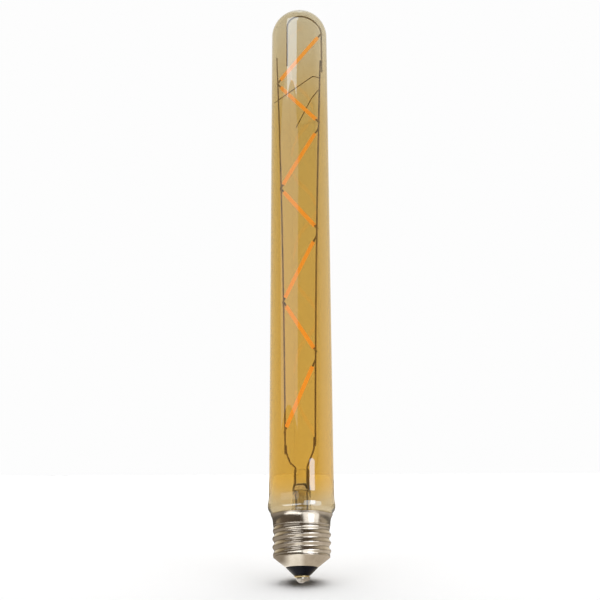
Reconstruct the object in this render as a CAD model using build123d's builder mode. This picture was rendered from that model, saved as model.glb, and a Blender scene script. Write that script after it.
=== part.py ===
from build123d import *
import os
from math import atan2, cos, degrees, hypot, radians, sin, sqrt

# A long tubular filament lamp with a rolled screw cap, standing upright.
# The tip of its centre contact is at z = 0 and its axis is the z axis.

os.makedirs("parts", exist_ok=True)

# Overall sizes
overall_height = 300.0
tube_d = 29.5
shoulder_swell = 1.0
glass_wall = 1.0
clearance = 0.02

# Glass neck and shoulder
neck_d = 23.1
neck_end_level = 22.8
neck_top_level = 26.2
shoulder_slope = 3.6 / 3.7
shoulder_run = 5.1
neck_ease = 3.3
shoulder_ease = 3.4
shoulder_tail = 2.0
tube_ease = 2.5

# Stem: trumpet, press and exhaust tube
rim_thickness = 0.9
stem_tube_d = 8.4
stem_wall = 0.9
trumpet_top_level = 38.0
flare_reach = 3.5
flare_rise = 1.5
flare_run = 9.0
cavity_top_level = 40.5
press_bottom_level = 44.0
press_top_level = 50.2
press_width = 7.6
press_thickness = 3.2
press_turn = -15.0
exhaust_d = 4.0
exhaust_wall = 0.7
exhaust_tip_level = 19.4

# Wire frame that carries the filaments
wire_d = 0.8
anchor_d = 0.5
weld_gap = 0.03
lap_gap = 0.12
frame_bottom_level = 58.3
frame_bottom_inset = 5.3
frame_middle_inset = 2.6
frame_top_inset = 1.8
frame_bottom_turn = -34.4
frame_middle_turn = -39.7
frame_top_turn = -10.2
frame_shift = -0.62
left_wire_levels = (frame_bottom_level, overall_height - 26.0)
right_wire_levels = (frame_bottom_level + 1.7, overall_height - 31.0)
left_lap_top_level = 62.4
right_lap_top_level = 64.3
lap_bottom_level = 58.8
lead_bend_r = 1.6
lead_gap = 0.05
left_lead_bend = (-5.2, 4.0, 54.0)

# Spring hoop in the dome
hoop_foot_level = overall_height - 39.0
free_leg_inset = 2.65
free_leg_turn = -124.6

# Anchor wires
front_anchor_level = overall_height - 43.0
back_anchor_level = overall_height - 48.8
anchor_lap = 3.5
anchor_bend_r = 1.2
front_anchor_bend = (9.55, -43.7, -0.6)
front_anchor_end = (-173.5, -13.7)
back_anchor_bend = (8.0, 38.0, -1.2)
back_anchor_end = (98.5, -13.9)

# Filaments
filament_count = 7
filament_length = 36.3
weld_step = 5.0
terminal_length = 2.65
terminal_width = 0.9
terminal_thickness = 0.2
terminal_tail = 0.5
coating_width = 2.0
coating_thickness = 1.5
top_weld_level = overall_height - 15.1

# Screw cap of rolled sheet
sheet = 0.3
cap_foot_d = 14.4
cap_foot_level = 6.6
cap_cone_level = 10.9
thread_root_d = 24.5
thread_crest_d = 26.2
thread_pitch = 3.629
thread_turn = 99.0
thread_top_level = 24.2
thread_fade = 2.7
collar_d = 25.8
collar_bottom_level = 24.9
skirt_level = 27.4
skirt_d = 28.0
skirt_top_level = 29.8

# Insulator and centre contact
insulator_foot_d = 7.5
insulator_foot_level = 3.15
insulator_plug_d = 12.8
insulator_plug_level = 8.3
contact_d = 6.8
contact_thickness = 0.9
eyelet_d = 2.4
eyelet_bore_d = 1.4
eyelet_height = 2.0
solder_radius = 2.35
solder_offset = -0.25
second_lobe_radius = 1.7
second_lobe_offset = 2.0
second_lobe_level = 0.75

# Driver in the cap
board_d = 19.0
board_thickness = 0.8
board_top_level = 17.8
live_wire_d = 0.5
neutral_wire_d = 0.3
neutral_turn = 150.0
neutral_gap = 0.05
resistor_d = 2.4
resistor_length = 6.0
resistor_gap = 0.6
capacitor_d = 6.3
capacitor_length = 7.0
capacitor_spot = (-6.2, -1.5)
rectifier_size = (4.7, 3.8, 1.5)
rectifier_spot = (5.0, 3.4)
chip_size = (4.9, 3.9, 1.5)
chip_spot = (5.2, -3.2)
sense_size = (2.0, 1.25, 0.5)
sense_spots = [(-4.6, -4.0), (-1.2, -5.6)]

# Worked out from the sizes above
tube_r = tube_d / 2
shoulder_outer_r = tube_r + shoulder_swell / 2
inner_r = tube_r - glass_wall
dome_level = overall_height - tube_r
neck_r = neck_d / 2
shoulder_level = skirt_top_level + (shoulder_outer_r - neck_r) * shoulder_slope
tube_start_level = shoulder_level + shoulder_run
lead_spacing_r = (stem_tube_d / 2 - stem_wall + exhaust_d / 2) / 2 + lead_gap
press_corner = press_thickness * 0.48
press_edge = press_thickness * 0.2
coating_corner = coating_thickness * 0.45
coating_edge = coating_thickness * 0.23
hoop_spring_level = dome_level - 0.25
board_bottom_level = board_top_level - board_thickness
contact_bottom_level = insulator_foot_level - contact_thickness
collar_inner_r = collar_d / 2 - sheet
thread_mean_r = (thread_crest_d + thread_root_d) / 4
thread_swing = (thread_crest_d - thread_root_d) / 4


def polar(radius, turn, level):
    """A point at a radius, at an angle round the axis and at a level."""
    return Vector(radius * cos(radians(turn)), radius * sin(radians(turn)), level)


def keep(part, name):
    """Label one finished piece and write it."""
    part.label = name
    export_step(part, f"parts/{name}.step")


def wire_along(points, diameter, radius):
    """A round wire swept along points whose corners are rounded."""
    with BuildPart() as wire:
        with BuildLine() as path:
            FilletPolyline(*points, radius=radius)
        with BuildSketch(Plane(origin=path.line @ 0, z_dir=path.line % 0)):
            Circle(diameter / 2)
        sweep()
    return wire.part


# Glass envelope
def envelope_section(inset):
    """Half section of the envelope, moved inwards by the inset."""
    radius = tube_r - inset
    shoulder_r = shoulder_outer_r - inset
    neck = neck_r - inset
    with BuildSketch() as section:
        with BuildLine():
            Line((0, neck_end_level), (neck, neck_end_level))
            Line((neck, neck_end_level), (neck, neck_top_level))
            Bezier(
                (neck, neck_top_level),
                (neck, neck_top_level + neck_ease),
                (shoulder_r, shoulder_level - shoulder_ease),
                (shoulder_r, shoulder_level),
            )
            Bezier(
                (shoulder_r, shoulder_level),
                (shoulder_r, shoulder_level + shoulder_tail),
                (radius, tube_start_level - tube_ease),
                (radius, tube_start_level),
            )
            Line((radius, tube_start_level), (radius, dome_level))
            CenterArc((0, dome_level), radius, 0, 90)
            Line((0, dome_level + radius), (0, neck_end_level))
        make_face()
    return section.sketch


with BuildPart() as glass_envelope:
    with BuildSketch(Plane.XZ):
        add(envelope_section(0))
        add(envelope_section(glass_wall), mode=Mode.SUBTRACT)
    revolve(axis=Axis.Z)
keep(glass_envelope.part, "glass_envelope")

# Stem with its trumpet and press
stem_r = stem_tube_d / 2
rim_bottom_level = neck_end_level - rim_thickness


def throat_section(rim_level, stem):
    """Half section of the trumpet, from a rim level up to a stem radius."""
    rim = neck_r - glass_wall
    with BuildSketch() as section:
        with BuildLine():
            Bezier(
                (rim, rim_level),
                (rim - flare_reach, rim_level + flare_rise),
                (stem, trumpet_top_level - flare_run),
                (stem, trumpet_top_level),
            )
            Polyline((stem, trumpet_top_level), (stem, cavity_top_level), (0, cavity_top_level),
                     (0, rim_level), (rim, rim_level))
        make_face()
    return section.sketch


press_plane = Plane.XY.offset(press_bottom_level).rotated((0, 0, press_turn))
lead_spots = [polar(lead_spacing_r, press_turn + 180, 0), polar(lead_spacing_r, press_turn, 0)]

with BuildPart() as stem_flare:
    with BuildSketch(Plane.XZ):
        add(throat_section(neck_end_level, stem_r))
        with Locations((0, rim_bottom_level)):
            Rectangle(neck_r, rim_thickness, align=(Align.MIN, Align.MIN))
    revolve(axis=Axis.Z)
    with BuildSketch(Plane.XY.offset(cavity_top_level).rotated((0, 0, press_turn))):
        Circle(stem_r)
    with BuildSketch(press_plane):
        RectangleRounded(press_width, press_thickness, press_corner)
    loft()
    with BuildSketch(press_plane):
        RectangleRounded(press_width, press_thickness, press_corner)
    extrude(amount=press_top_level - press_bottom_level)
    fillet(stem_flare.faces().sort_by(Axis.Z)[-1].edges(), radius=press_edge)
    with BuildSketch(Plane.XZ):
        add(throat_section(rim_bottom_level, stem_r - stem_wall))
    revolve(axis=Axis.Z, mode=Mode.SUBTRACT)
    with BuildSketch(Plane.XY.offset(cavity_top_level)):
        with Locations(*lead_spots):
            Circle(wire_d / 2 + clearance)
    extrude(amount=press_top_level - cavity_top_level, mode=Mode.SUBTRACT)
keep(stem_flare.part, "stem_flare")

# Exhaust tube, melted shut at its tip
exhaust_r = exhaust_d / 2
exhaust_bore_r = exhaust_r - exhaust_wall
tip_floor_level = exhaust_tip_level + exhaust_wall * 2
with BuildPart() as exhaust_tube:
    with BuildSketch(Plane.XZ):
        with BuildLine():
            Line((exhaust_bore_r, cavity_top_level), (exhaust_r, cavity_top_level))
            Line((exhaust_r, cavity_top_level), (exhaust_r, exhaust_tip_level + exhaust_r))
            CenterArc((0, exhaust_tip_level + exhaust_r), exhaust_r, 0, -90)
            Line((0, exhaust_tip_level), (0, tip_floor_level))
            Bezier(
                (0, tip_floor_level),
                (exhaust_bore_r, tip_floor_level),
                (exhaust_bore_r, exhaust_tip_level + exhaust_r * 2),
            )
            Line((exhaust_bore_r, exhaust_tip_level + exhaust_r * 2), (exhaust_bore_r, cavity_top_level))
        make_face()
    revolve(axis=Axis.Z)
keep(exhaust_tube.part, "exhaust_tube")

# The bow of the wire frame: one large arc, the left wire being its half turn
frame_top_level = left_wire_levels[1]
frame_middle_level = (frame_bottom_level + frame_top_level) / 2
with BuildLine() as frame_bow:
    ThreePointArc(
        polar(inner_r - frame_bottom_inset, frame_bottom_turn, frame_bottom_level),
        polar(inner_r - frame_middle_inset, frame_middle_turn, frame_middle_level),
        polar(inner_r - frame_top_inset, frame_top_turn, frame_top_level),
    )
bow = frame_bow.line


def wire_point(side, level):
    """Centre of the support wire of a side, at a level."""
    point = bow @ ((level - frame_bottom_level) / (frame_top_level - frame_bottom_level))
    if side == "left":
        point = Vector(-point.X, -point.Y, point.Z)
    return point + Vector(frame_shift, 0, 0)


def support_wire(side, levels):
    """The support wire of a side, between two levels."""
    low, high = levels
    with BuildPart() as wire:
        with BuildLine() as path:
            ThreePointArc(wire_point(side, low), wire_point(side, (low + high) / 2), wire_point(side, high))
        with BuildSketch(Plane(origin=path.line @ 0, z_dir=path.line % 0)):
            Circle(wire_d / 2)
        sweep()
    return wire.part


keep(support_wire("left", left_wire_levels), "support_wire_left")
keep(support_wire("right", right_wire_levels), "support_wire_right")


# Lead-in wires, from the driver board through the press to the support wires
def lead_in_wire(side, spot, middle_points, top_level):
    """A lead-in wire that ends lapped along the support wire of its side."""
    turn = 1 if side == "left" else -1
    lap = Vector(0.66, -0.75, 0).normalized() * turn * (wire_d + weld_gap)
    points = [
        Vector(spot.X, spot.Y, board_bottom_level - wire_d),
        Vector(spot.X, spot.Y, press_top_level + wire_d + 0.1),
        *middle_points,
        wire_point(side, lap_bottom_level) + lap,
        wire_point(side, top_level) + lap,
    ]
    return wire_along(points, wire_d, lead_bend_r)


left_lead = lead_in_wire("left", lead_spots[0], [Vector(*left_lead_bend)], left_lap_top_level)
right_lead = lead_in_wire("right", lead_spots[1], [], right_lap_top_level)
keep(left_lead, "lead_in_wire_left")
keep(right_lead, "lead_in_wire_right")

# Spring hoop: a U of wire whose long leg is lapped to the right support wire
lap_middle = wire_point("right", (hoop_foot_level + right_wire_levels[1]) / 2)
hoop_lap = Vector(0.89, -0.45, 0).normalized() * (wire_d + lap_gap)
lapped_leg = Vector(lap_middle.X, lap_middle.Y, 0) + hoop_lap
free_leg = polar(inner_r - free_leg_inset, free_leg_turn, 0)
hoop_middle = (lapped_leg + free_leg) * 0.5
hoop_half_width = (lapped_leg - free_leg).length / 2
hoop_direction = (lapped_leg - free_leg).normalized()
hoop_plane = Plane(origin=hoop_middle, x_dir=hoop_direction, z_dir=hoop_direction.cross(Vector(0, 0, 1)))

with BuildPart() as dome_hoop:
    with BuildLine(hoop_plane) as hoop_path:
        Line((hoop_half_width, hoop_foot_level), (hoop_half_width, hoop_spring_level))
        CenterArc((0, hoop_spring_level), hoop_half_width, 0, 180)
        Line((-hoop_half_width, hoop_spring_level), (-hoop_half_width, hoop_foot_level))
    with BuildSketch(Plane.XY.offset(hoop_foot_level)):
        with Locations(lapped_leg):
            Circle(wire_d / 2)
    sweep()
    fillet(dome_hoop.edges().filter_by(GeomType.CIRCLE).group_by(Axis.Z)[0], radius=wire_d * 0.35)
keep(dome_hoop.part, "dome_hoop")


def hoop_point(level):
    """Centre of the hoop above its lapped leg, at a level on the arc."""
    across = sqrt(hoop_half_width**2 - (level - hoop_spring_level) ** 2)
    return hoop_middle + hoop_direction * across + Vector(0, 0, level)


# Anchor wires, lapped to the right support wire and pressing on the glass
anchor_gap = (wire_d + anchor_d) / 2 + lap_gap / 2
anchor_reach = inner_r - anchor_d / 2 - clearance
front_side = Vector(-0.25, -0.97, 0).normalized() * anchor_gap


def anchor_wire(level, side, bend, end):
    """An anchor from its lap on the right support wire, round its bend, to the glass."""
    bend_r, bend_turn, bend_rise = bend
    end_turn, end_rise = end
    points = [
        wire_point("right", level - anchor_lap) + side,
        wire_point("right", level) + side,
        polar(bend_r, bend_turn, level + bend_rise),
        polar(anchor_reach, end_turn, level + end_rise),
    ]
    return wire_along(points, anchor_d, anchor_bend_r)


front_anchor = anchor_wire(front_anchor_level, front_side, front_anchor_bend, front_anchor_end)
back_anchor = anchor_wire(back_anchor_level, front_side * -1, back_anchor_bend, back_anchor_end)
keep(front_anchor, "anchor_wire_front")
keep(back_anchor, "anchor_wire_back")


# Filaments in a zigzag, each welded to both wires by its flat terminals
def next_weld(start, side):
    """The point of a wire that lies one filament length below a weld."""
    drop = filament_length * 0.8
    for _ in range(6):
        end = wire_point(side, start.Z - drop)
        across = hypot(end.X - start.X, end.Y - start.Y)
        drop = sqrt(filament_length**2 - across**2)
    return wire_point(side, start.Z - drop)


def filament(upper, lower, facing):
    """One coated strip and its two terminals, on the facing side of the wires."""
    along = (lower - upper).normalized()
    outward = Vector(0, 0, 1).cross(along).normalized()
    if outward.Y * facing < 0:
        outward = outward * -1
    lift = outward * (wire_d / 2 + weld_gap + terminal_thickness / 2)
    length = (lower - upper).length
    with BuildPart() as strip:
        with BuildSketch(Plane(origin=upper + lift + along * terminal_length, x_dir=outward, z_dir=along)):
            RectangleRounded(coating_thickness, coating_width, coating_corner)
        extrude(amount=length - 2 * terminal_length)
        fillet(strip.faces().filter_by(Plane(origin=upper, z_dir=along)).edges(), radius=coating_edge)
    with BuildPart() as tabs:
        for weld, direction in ((upper, along), (lower, along * -1)):
            start = weld + lift - direction * terminal_tail
            with BuildSketch(Plane(origin=start, x_dir=outward, z_dir=direction)):
                Rectangle(terminal_thickness, terminal_width)
            extrude(amount=terminal_length + terminal_tail)
    return strip.part, tabs.part


weld = hoop_point(top_weld_level)
for number in range(1, filament_count + 1):
    downwards_left = number % 2 == 1
    lower_weld = next_weld(weld, "left" if downwards_left else "right")
    strip, tabs = filament(weld, lower_weld, -1 if downwards_left else 1)
    keep(strip, f"filament_{number}")
    keep(tabs, f"filament_{number}_terminals")
    weld = lower_weld if downwards_left else wire_point("right", lower_weld.Z - weld_step)


# Screw shell of one rolled sheet: foot cone, knuckle thread, collar and skirt
def turn_of(point):
    """The angle of a point round the axis."""
    return degrees(atan2(point.Y, point.X))


def sheet_section(points):
    """Section of the sheet, one thickness wide, behind an outline given from the foot up."""
    with BuildSketch() as section:
        with BuildLine():
            outside = FilletPolyline(*points, radius=sheet)
            inside = FilletPolyline(*[(x - sheet, y) for x, y in points], radius=sheet)
            Line(outside @ 0, inside @ 0)
            Line(outside @ 1, inside @ 1)
        make_face()
    return section.sketch


# A level cut through a knuckle thread is a circle set off from the axis, so the thread is
# a ring carried level along a small helix, which opens from the axis and closes to it
thread_height = thread_top_level - cap_cone_level
steady_height = thread_height - 2 * thread_fade
opening_angle = degrees(atan2(thread_swing, thread_fade))
with BuildPart() as thread_tube:
    with BuildLine():
        opening = Helix(
            thread_pitch, thread_fade, 0, center=(0, 0, cap_cone_level), cone_angle=opening_angle
        )
        steady = Helix(
            thread_pitch, steady_height, thread_swing,
            center=(0, 0, cap_cone_level + thread_fade), mode=Mode.PRIVATE,
        ).rotate(Axis.Z, turn_of(opening @ 1))
        closing = Helix(
            thread_pitch, thread_fade, thread_swing,
            center=(0, 0, thread_top_level - thread_fade), cone_angle=-opening_angle, mode=Mode.PRIVATE,
        ).rotate(Axis.Z, turn_of(steady @ 1))
        add([steady, closing])
    with BuildSketch(Plane.XY.offset(cap_cone_level)):
        Circle(thread_mean_r)
        Circle(thread_mean_r - sheet, mode=Mode.SUBTRACT)
    sweep(normal=(0, 0, 1))

with BuildPart() as cap_shell:
    with BuildSketch(Plane.XZ):
        with BuildLine():
            Polyline(
                (cap_foot_d / 2, cap_foot_level),
                (thread_mean_r, cap_cone_level),
                (thread_mean_r - sheet, cap_cone_level),
                (cap_foot_d / 2 - sheet * 1.5, cap_foot_level),
                close=True,
            )
        make_face()
        add(sheet_section([
            (thread_mean_r, thread_top_level),
            (thread_mean_r, thread_top_level + 0.3),
            (collar_d / 2, collar_bottom_level),
            (collar_d / 2, skirt_level),
            (skirt_d / 2, skirt_top_level),
        ]))
    revolve(axis=Axis.Z)
    add(thread_tube.part.rotate(Axis.Z, thread_turn))
keep(cap_shell.part, "cap_shell")

# Cement ring between the neck and the collar, notched for the neutral wire
cement_inner_r = neck_r + clearance
cement_outer_r = collar_inner_r - clearance
cement_bottom_level = neck_end_level + rim_thickness / 2
cement_low_r = thread_root_d / 2 - sheet - clearance
with BuildPart() as basing_cement:
    with BuildSketch(Plane.XZ):
        with BuildLine():
            Polyline(
                (cement_inner_r, cement_bottom_level),
                (cement_low_r, cement_bottom_level),
                (cement_low_r, thread_top_level),
                (cement_outer_r, collar_bottom_level + 0.1),
                (cement_outer_r, neck_top_level),
                (cement_inner_r, neck_top_level),
                close=True,
            )
        make_face()
    revolve(axis=Axis.Z)
    with BuildSketch(Plane.XY.offset(neck_end_level)):
        with PolarLocations(cement_outer_r, 1, start_angle=neutral_turn):
            Rectangle(neutral_wire_d * 10, neutral_wire_d * 2)
    extrude(amount=neck_top_level - neck_end_level, mode=Mode.SUBTRACT)
keep(basing_cement.part, "basing_cement")

# Insulator cone with its plug
with BuildPart() as cap_insulator:
    with BuildSketch(Plane.XZ):
        with BuildLine():
            Polyline(
                (eyelet_d / 2 + clearance, insulator_foot_level),
                (insulator_foot_d / 2, insulator_foot_level),
                (cap_foot_d / 2, cap_foot_level),
                (insulator_plug_d / 2, cap_foot_level),
                (insulator_plug_d / 2, insulator_plug_level),
                (eyelet_d / 2 + clearance, insulator_plug_level),
                close=True,
            )
        make_face()
    revolve(axis=Axis.Z)
keep(cap_insulator.part, "cap_insulator")

# Contact plate with its eyelet
with BuildPart() as contact_plate:
    with BuildSketch(Plane.XY.offset(contact_bottom_level)):
        Circle(contact_d / 2)
    extrude(amount=contact_thickness)
    fillet(contact_plate.faces().sort_by(Axis.Z)[0].edges(), radius=contact_thickness * 0.5)
    with BuildSketch(Plane.XY.offset(insulator_foot_level)):
        Circle(eyelet_d / 2)
    extrude(amount=eyelet_height)
    with BuildSketch(Plane.XY.offset(contact_bottom_level)):
        Circle(eyelet_bore_d / 2)
    extrude(amount=contact_thickness + eyelet_height, mode=Mode.SUBTRACT)
keep(contact_plate.part, "contact_plate")

# Solder on the contact, two drops run together, the lower one pressed flat
with BuildPart() as contact_solder:
    with Locations((solder_offset, 0, contact_bottom_level)):
        Sphere(solder_radius)
    with Locations((second_lobe_offset, 0, second_lobe_level + second_lobe_radius)):
        Sphere(second_lobe_radius)
    split(bisect_by=Plane.XY.offset(contact_bottom_level), keep=Keep.BOTTOM)
    split(bisect_by=Plane.XY, keep=Keep.TOP)
keep(contact_solder.part, "contact_solder")

# Driver board with the parts soldered to it
with BuildPart() as driver_board:
    with BuildSketch(Plane.XY.offset(board_bottom_level)):
        Circle(board_d / 2)
        with Locations(*lead_spots):
            Circle(wire_d / 2 + clearance, mode=Mode.SUBTRACT)
    extrude(amount=board_thickness)
keep(driver_board.part, "driver_board")


def board_chip(spots, size, bottom_level):
    """Moulded components standing at a level, each a box with softened edges."""
    length, width, height = size
    with BuildPart() as chip:
        with Locations(*[(x, y, bottom_level + height / 2) for x, y in spots]):
            Box(length, width, height)
        chamfer(chip.edges().filter_by(Axis.Z), length=width * 0.08)
    return chip.part


keep(board_chip([rectifier_spot], rectifier_size, board_bottom_level - rectifier_size[2]), "bridge_rectifier")
keep(board_chip([chip_spot], chip_size, board_bottom_level - chip_size[2]), "driver_chip")
keep(board_chip(sense_spots, sense_size, board_top_level), "sense_resistors")

with BuildPart() as smoothing_capacitor:
    with BuildSketch(Plane.XY.offset(board_bottom_level)):
        with Locations(capacitor_spot):
            Circle(capacitor_d / 2)
    extrude(amount=-capacitor_length)
    fillet(smoothing_capacitor.faces().sort_by(Axis.Z)[0].edges(), radius=0.5)
keep(smoothing_capacitor.part, "smoothing_capacitor")

resistor_top_level = board_bottom_level - resistor_gap
with BuildPart() as fusible_resistor:
    with BuildSketch(Plane.XY.offset(resistor_top_level)):
        Circle(resistor_d / 2)
    extrude(amount=-resistor_length)
    fillet(fusible_resistor.edges().filter_by(GeomType.CIRCLE), radius=0.5)
    with BuildSketch(Plane.XY.offset(board_bottom_level)):
        Circle(live_wire_d / 2)
    extrude(amount=-resistor_gap - resistor_d / 4)
keep(fusible_resistor.part, "fusible_resistor")

# Wires of the cap
with BuildPart() as live_wire:
    with BuildSketch(Plane.XY.offset(resistor_top_level - resistor_length)):
        Circle(live_wire_d / 2)
    extrude(amount=contact_bottom_level - resistor_top_level + resistor_length)
keep(live_wire.part, "live_wire")

neutral_low_r = thread_root_d / 2 - sheet - neutral_gap - neutral_wire_d / 2
neutral_high_r = collar_inner_r - clearance - neutral_wire_d / 2
solder_pad_level = board_top_level + neutral_wire_d / 2
neutral_points = [
    polar(board_d / 2 - 1.0, neutral_turn, solder_pad_level),
    polar(board_d / 2 + 0.8, neutral_turn, solder_pad_level + 0.8),
    polar(neutral_low_r, neutral_turn, neck_end_level - 0.8),
    polar(neutral_low_r, neutral_turn, collar_bottom_level - 0.2),
    polar(neutral_high_r, neutral_turn, collar_bottom_level + 0.9),
    polar(neutral_high_r, neutral_turn, neck_top_level + 0.4),
]
keep(wire_along(neutral_points, neutral_wire_d, neutral_wire_d * 1.3), "neutral_wire")
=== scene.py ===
"""Looks of a long tubular filament lamp: amber glass, wire frame, coated strips and screw cap.

Every shape is a grid of points worked out with numpy from a few sizes in millimetres, in the
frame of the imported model: the lamp's axis is z and the tip of its centre contact is at z = 0.
"""

import logging
import math
from dataclasses import dataclass
from enum import Enum
from typing import Dict, List, Optional, Sequence, Tuple, Union

import bpy
import numpy as np
from mathutils import Matrix, Vector


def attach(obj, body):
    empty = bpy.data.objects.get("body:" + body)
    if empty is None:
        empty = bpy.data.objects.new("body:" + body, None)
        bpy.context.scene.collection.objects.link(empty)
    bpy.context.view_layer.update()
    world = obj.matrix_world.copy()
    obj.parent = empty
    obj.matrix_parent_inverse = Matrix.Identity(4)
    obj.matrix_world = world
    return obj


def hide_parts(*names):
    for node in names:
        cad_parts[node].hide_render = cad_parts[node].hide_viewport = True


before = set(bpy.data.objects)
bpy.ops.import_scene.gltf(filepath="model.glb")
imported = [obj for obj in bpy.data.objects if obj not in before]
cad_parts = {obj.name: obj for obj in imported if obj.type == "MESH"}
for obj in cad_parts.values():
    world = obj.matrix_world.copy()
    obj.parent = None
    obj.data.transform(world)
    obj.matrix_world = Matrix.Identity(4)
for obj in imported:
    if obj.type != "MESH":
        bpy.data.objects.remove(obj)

MM = 0.001
Colour = Tuple[float, float, float, float]
Triple = Tuple[float, float, float]
log = logging.getLogger("lamp")

# Noise keeps mostly to its middle, so its patterns are read between these shares of it
TONE_LOW, TONE_HIGH = 0.35, 0.65
MARK_LOW, MARK_HIGH = 0.3, 0.7
# How much of a bump's height is used
BUMP_STRENGTH = 0.3
# Angles at which the rounded nose of a cut wire has its rings
NOSE_DEG = (82.0, 60.0, 35.0)
# The largest share of a straight run that a bend at its end may take up
BEND_SHARE = 0.45


class Side(Enum):
    """Which of the two long wires a piece belongs to, seen from the camera."""

    LEFT = -1
    RIGHT = 1


class Ends(Enum):
    """How the first and last ring of a skin are finished."""

    CAPPED = "capped"
    LOOPED = "looped"


def srgb(hex_code: str, alpha: float = 1.0) -> Colour:
    """Turn an sRGB hex colour into linear values.

    Args:
        hex_code: Six hex digits, such as "c39b4e".
        alpha: Opacity to add as the fourth value.

    Returns:
        Linear red, green, blue and the alpha.
    """
    shares = [int(hex_code[i:i + 2], 16) / 255 for i in (0, 2, 4)]
    linear = [s / 12.92 if s <= 0.04045 else ((s + 0.055) / 1.055) ** 2.4 for s in shares]
    return (linear[0], linear[1], linear[2], alpha)


def add_node(
    tree: bpy.types.NodeTree,
    kind: str,
    settings: Optional[Dict[str, object]] = None,
    **links: object,
) -> bpy.types.Node:
    """Add one shader node.

    Args:
        tree: The node tree that takes it.
        kind: The node's type, such as "ShaderNodeTexNoise".
        settings: Attributes of the node to set.
        **links: Input name with underscores for spaces, or "i0" for input 0, to a value or an
            output socket.

    Returns:
        The new node.
    """
    made = tree.nodes.new(kind)
    for name, value in (settings or {}).items():
        setattr(made, name, value)
    for name, value in links.items():
        key = int(name[1:]) if name[0] == "i" and name[1:].isdigit() else name.replace("_", " ")
        if isinstance(value, bpy.types.NodeSocket):
            tree.links.new(value, made.inputs[key])
        else:
            made.inputs[key].default_value = value
    return made


def set_ramp(ramp_node: bpy.types.Node, stops: Sequence[Tuple[float, Colour]]) -> None:
    """Set the stops of a colour ramp.

    Args:
        ramp_node: The ColorRamp node.
        stops: Position and colour of each stop, from low to high.
    """
    elements = ramp_node.color_ramp.elements
    while len(elements) < len(stops):
        elements.new(0.5)
    for element, (position, colour) in zip(elements, stops):
        element.position = position
        element.color = colour


def new_tree(name: str) -> Tuple[bpy.types.Material, bpy.types.NodeTree, bpy.types.Node]:
    """Make a material with an output node.

    Args:
        name: The material's name.

    Returns:
        The material, its tree and the output node.
    """
    material = bpy.data.materials.new(name)
    material.use_nodes = True
    tree = material.node_tree
    tree.nodes.clear()
    return material, tree, tree.nodes.new("ShaderNodeOutputMaterial")


# Finishes


@dataclass(frozen=True)
class AmberGlass:
    """Soda-lime glass with an amber lustre on its outside, paler at both ends.

    The lustre is a thin film of metal oxide, so it reflects more than bare glass and a little
    bluish, and what passes through it is amber. Bare glass, for the inner wall, has no tint.
    """

    name: str = "amber_lustre_glass"
    lustred: bool = True
    end_tint: str = "cbc1a3"
    upper_tint: str = "c6a453"
    body_tint: str = "daab44"
    low_tint: str = "c0af88"
    film_nm: float = 32.0
    film_ior: float = 2.2
    ior: float = 1.5
    roughness: float = 0.0
    coat_start_mm: float = 33.0
    coat_full_mm: float = 44.0
    coat_fade_mm: float = 235.0
    height_mm: float = 300.0
    draw_line_mm: float = 6.0
    draw_stretch: float = 0.04
    draw_depth_mm: float = 0.2
    draw_strength: float = 0.05

    def build(self) -> bpy.types.Material:
        """Make the glass, with faint long draw lines, and give it its lustre where it has one.

        Returns:
            The material.
        """
        material, tree, output = new_tree(self.name)
        place = add_node(tree, "ShaderNodeTexCoord")
        stretch = add_node(
            tree, "ShaderNodeMapping", Vector=place.outputs["Object"], Scale=(1.0, 1.0, self.draw_stretch)
        )
        lines = add_node(
            tree, "ShaderNodeTexNoise", Vector=stretch.outputs[0],
            Scale=1.0 / (self.draw_line_mm * MM), Detail=1.0,
        )
        bump = add_node(
            tree, "ShaderNodeBump", Strength=self.draw_strength, Distance=self.draw_depth_mm * MM,
            Height=lines.outputs["Fac"],
        )
        shader = add_node(
            tree, "ShaderNodeBsdfPrincipled", Base_Color=srgb("ffffff"), Roughness=self.roughness,
            IOR=self.ior, Transmission_Weight=1.0, Normal=bump.outputs["Normal"],
        )
        if self.lustred:
            self.add_lustre(tree, place, shader)
        tree.links.new(shader.outputs[0], output.inputs[0])
        return material

    def add_lustre(
        self, tree: bpy.types.NodeTree, place: bpy.types.Node, shader: bpy.types.Node
    ) -> None:
        """Tint the glass by its height over the lamp's whole height, and lay the film on it.

        Args:
            tree: The material's tree.
            place: Its Texture Coordinate node.
            shader: Its glass shader.
        """
        height = add_node(tree, "ShaderNodeSeparateXYZ", Vector=place.outputs["Object"])
        share = add_node(
            tree, "ShaderNodeMapRange", i0=height.outputs["Z"], From_Min=0.0, From_Max=self.height_mm * MM
        )
        ramp = add_node(tree, "ShaderNodeValToRGB", Fac=share.outputs[0])
        set_ramp(ramp, [
            (self.coat_start_mm / self.height_mm, srgb(self.low_tint)),
            (self.coat_full_mm / self.height_mm, srgb(self.body_tint)),
            (self.coat_fade_mm / self.height_mm, srgb(self.upper_tint)),
            (1.0, srgb(self.end_tint)),
        ])
        tree.links.new(ramp.outputs["Color"], shader.inputs["Base Color"])
        shader.inputs["Thin Film Thickness"].default_value = self.film_nm
        shader.inputs["Thin Film IOR"].default_value = self.film_ior


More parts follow.
